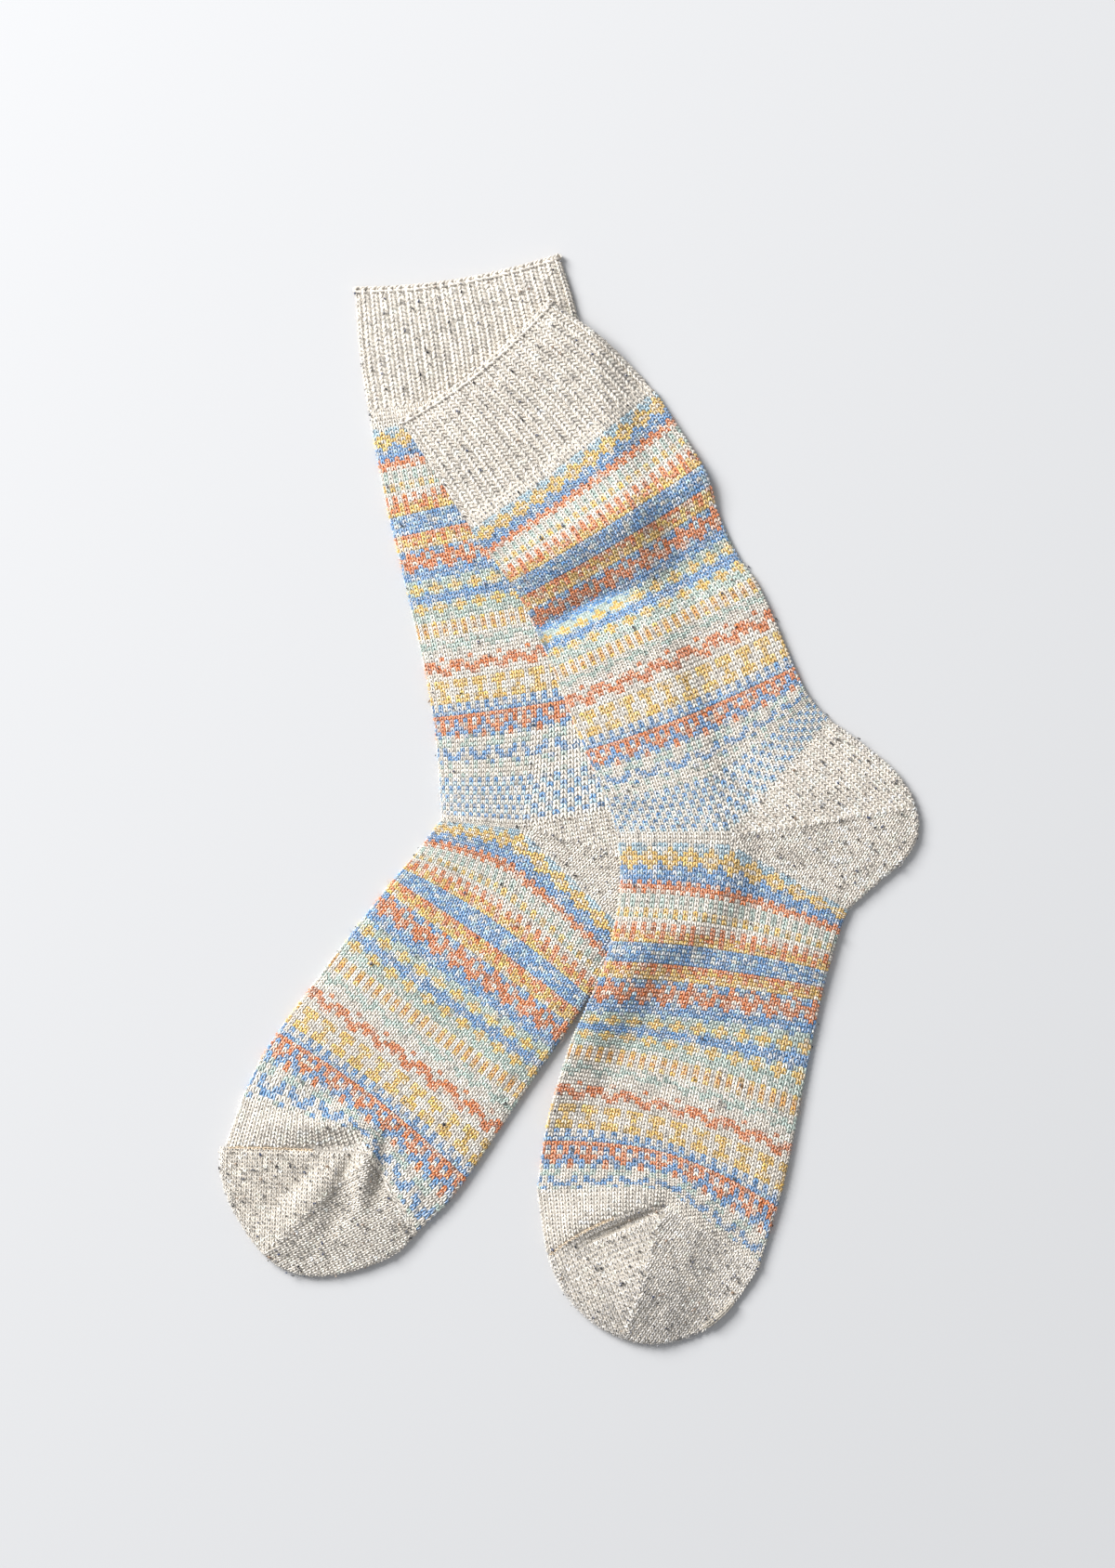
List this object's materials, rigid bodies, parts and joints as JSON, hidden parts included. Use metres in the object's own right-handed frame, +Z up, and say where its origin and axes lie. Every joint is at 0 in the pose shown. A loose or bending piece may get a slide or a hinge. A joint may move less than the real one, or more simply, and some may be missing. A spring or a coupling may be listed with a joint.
{
  "type": "pair of socks",
  "caption": "Pair of mid-calf knitted socks laid flat, one across the other, with ribbed cuffs, banded legs and feet, and plain heels and toes.",
  "frame": {"origin": "middle of the pair's bounding box, on the surface it lies on", "axes": "+Z up from the surface, +Y towards the cuffs along the pair's length, +X across the pair towards the heels"},
  "size_m": [0.2748, 0.4272, 0.0139],
  "materials": {
    "cream_yarn": "matt marled cream knit with dark flecks",
    "pattern_yarn": "matt knit in bands of cream, blue, yellow, orange and sage"
  },
  "bodies": {
    "root": {"lower_sock_cuff": "cream_yarn", "lower_sock_leg": "pattern_yarn", "lower_sock_heel": "cream_yarn", "lower_sock_foot": "pattern_yarn", "lower_sock_toe": "cream_yarn", "upper_sock_cuff": "cream_yarn", "upper_sock_leg": "pattern_yarn", "upper_sock_heel": "cream_yarn", "upper_sock_foot": "pattern_yarn", "upper_sock_toe": "cream_yarn"}
  },
  "joints": []
}
